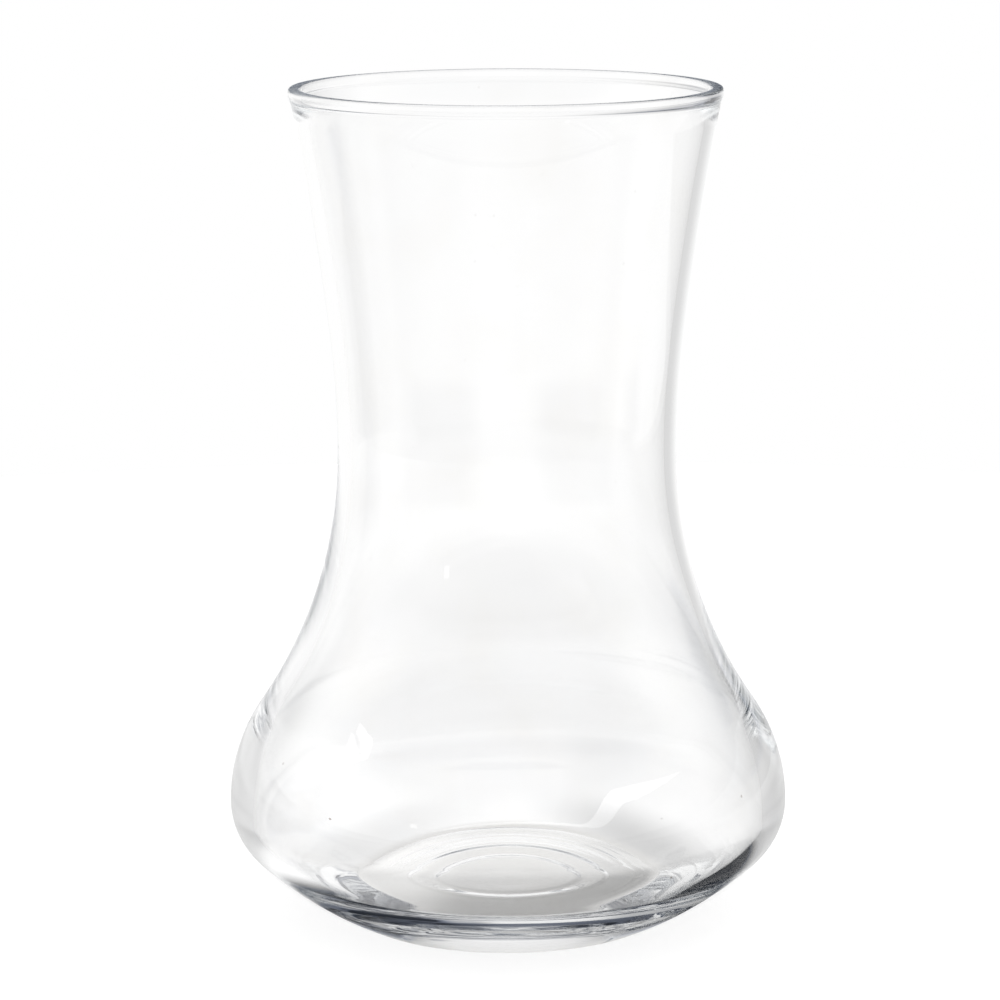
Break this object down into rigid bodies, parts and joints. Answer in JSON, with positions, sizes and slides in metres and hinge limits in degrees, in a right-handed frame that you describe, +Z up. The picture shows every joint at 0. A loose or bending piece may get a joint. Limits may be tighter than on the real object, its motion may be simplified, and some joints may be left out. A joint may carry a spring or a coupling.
{
  "type": "hyacinth forcing vase",
  "caption": "Clear blown-glass forcing vase: flared mouth, waist that seats a flower bulb above the water, wide low belly for water and roots, thick floor on a foot ring.",
  "frame": {"origin": "middle of the foot ring, on the surface the vase stands on", "axes": "+Z up along the axis that the vase is round about; X and Y are level, and the picture looks along +Y"},
  "size_m": [0.1006, 0.1006, 0.15],
  "materials": {
    "clear_glass": "clear, polished"
  },
  "bodies": {
    "root": {"glass_vessel": "clear_glass"}
  },
  "joints": []
}
